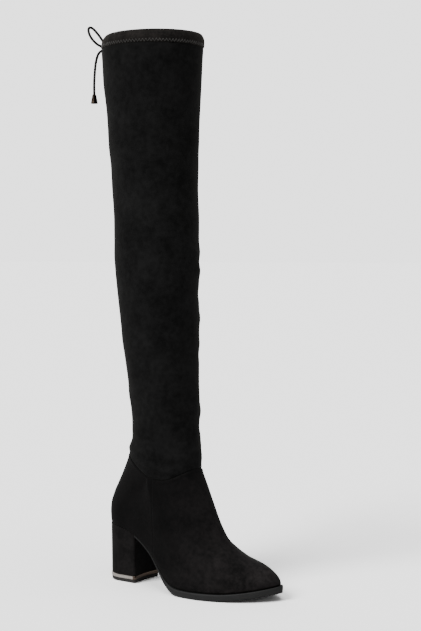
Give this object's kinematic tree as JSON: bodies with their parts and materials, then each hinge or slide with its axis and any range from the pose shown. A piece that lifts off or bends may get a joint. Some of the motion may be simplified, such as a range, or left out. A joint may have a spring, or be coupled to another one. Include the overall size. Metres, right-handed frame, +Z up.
{
  "type": "thigh high boot",
  "caption": "Right thigh-high boot with a tall pull-on shaft, drawcord cuff, side zip and covered block heel, standing empty on its sole",
  "frame": {"origin": "on the floor, under the middle of the heel tip", "axes": "+X to the toe, +Y to the inner side of the leg, +Z up the shaft"},
  "size_m": [0.2532, 0.109, 0.6493],
  "materials": {
    "suede": "black microfibre suede, short nap",
    "stretch_suede": "black stretch microfibre suede on a knitted back",
    "sole": "dark grey moulded sole with a satin edge",
    "footbed": "black synthetic leather, fine grain",
    "top_lift": "black hard rubber, ground smooth",
    "steel": "polished nickel-plated band",
    "zip_tape": "black woven tape with a nylon coil",
    "gunmetal": "dark gunmetal plating, polished edges",
    "cord": "black braided round cord"
  },
  "bodies": {
    "boot": {"outsole": "sole", "heel_block": "suede", "heel_band": "steel", "heel_tip": "top_lift", "insole": "footbed", "foot_upper": "suede", "shaft": "stretch_suede", "cuff": "stretch_suede", "zip_chain": "zip_tape", "zip_slider": "gunmetal", "cord_knot": "cord", "cord_lead_outer": "cord", "cord_loop_outer": "cord", "cord_tail_outer": "cord", "cord_end_outer": "gunmetal", "cord_lead_inner": "cord", "cord_loop_inner": "cord", "cord_tail_inner": "cord", "cord_end_inner": "gunmetal"},
    "pull": {"zip_pull": "gunmetal"}
  },
  "joints": [
    {"name": "pull_swing", "type": "hinge", "parent": "boot", "child": "pull", "pos_m": [0.04031, 0.04681, 0.32738], "axis": [1, 0, 0], "range_deg": [0, 160]}
  ]
}
